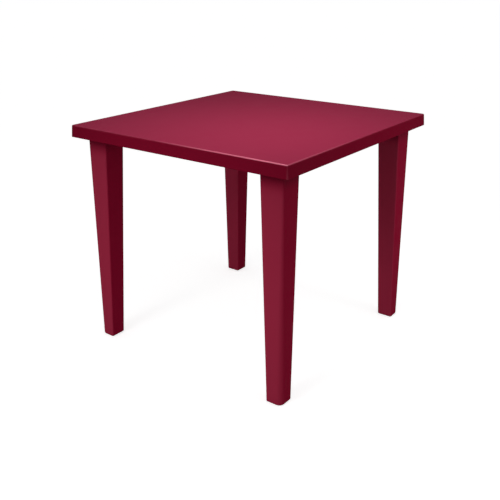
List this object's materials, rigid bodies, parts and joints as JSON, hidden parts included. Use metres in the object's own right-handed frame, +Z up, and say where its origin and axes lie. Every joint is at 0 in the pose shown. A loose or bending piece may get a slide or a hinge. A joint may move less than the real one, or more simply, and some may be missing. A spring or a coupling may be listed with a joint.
{
  "type": "square dining table",
  "caption": "Square moulded plastic dining table: a flat tray-shaped top with a shallow skirt on hollow, tapered box legs that stand in from the corners.",
  "frame": {"origin": "on the floor under the middle of the table", "axes": "+Z up; -Y is the side called the front, +X the right; the table is the same from all four sides"},
  "size_m": [0.8, 0.8, 0.72],
  "materials": {
    "moulded_polypropylene": "burgundy, satin from a finely grained mould",
    "foot_rubber": "black, matt",
    "zinc_plated_screw": "bright zinc plate"
  },
  "bodies": {
    "root": {"table_top": "moulded_polypropylene", "front_left_leg": "moulded_polypropylene", "front_right_leg": "moulded_polypropylene", "rear_left_leg": "moulded_polypropylene", "rear_right_leg": "moulded_polypropylene", "leg_screws": "zinc_plated_screw", "front_left_foot_pad": "foot_rubber", "front_right_foot_pad": "foot_rubber", "rear_left_foot_pad": "foot_rubber", "rear_right_foot_pad": "foot_rubber"}
  },
  "joints": []
}
